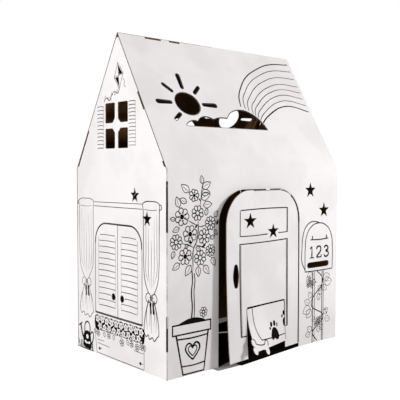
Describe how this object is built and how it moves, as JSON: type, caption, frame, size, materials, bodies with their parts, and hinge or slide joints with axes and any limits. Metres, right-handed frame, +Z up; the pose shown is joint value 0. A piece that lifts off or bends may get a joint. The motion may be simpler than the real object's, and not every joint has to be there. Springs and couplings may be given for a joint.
{
  "type": "cardboard playhouse",
  "caption": "Gabled playhouse folded from white-faced corrugated board, with an arched door standing ajar, shutters and cut-out windows, open at the floor",
  "frame": {"origin": "on the floor, in the middle of the outline of the house with its door ajar", "axes": "+Z up, +X along the ridge with the front sheet's shuttered gable at -X, and the ajar door faces -Y"},
  "size_m": [0.916, 0.68, 1.2171],
  "materials": {
    "front_board": "matte",
    "back_board": "matte"
  },
  "bodies": {
    "root": {"front_half": "front_board", "back_half": "back_board"}
  },
  "joints": []
}
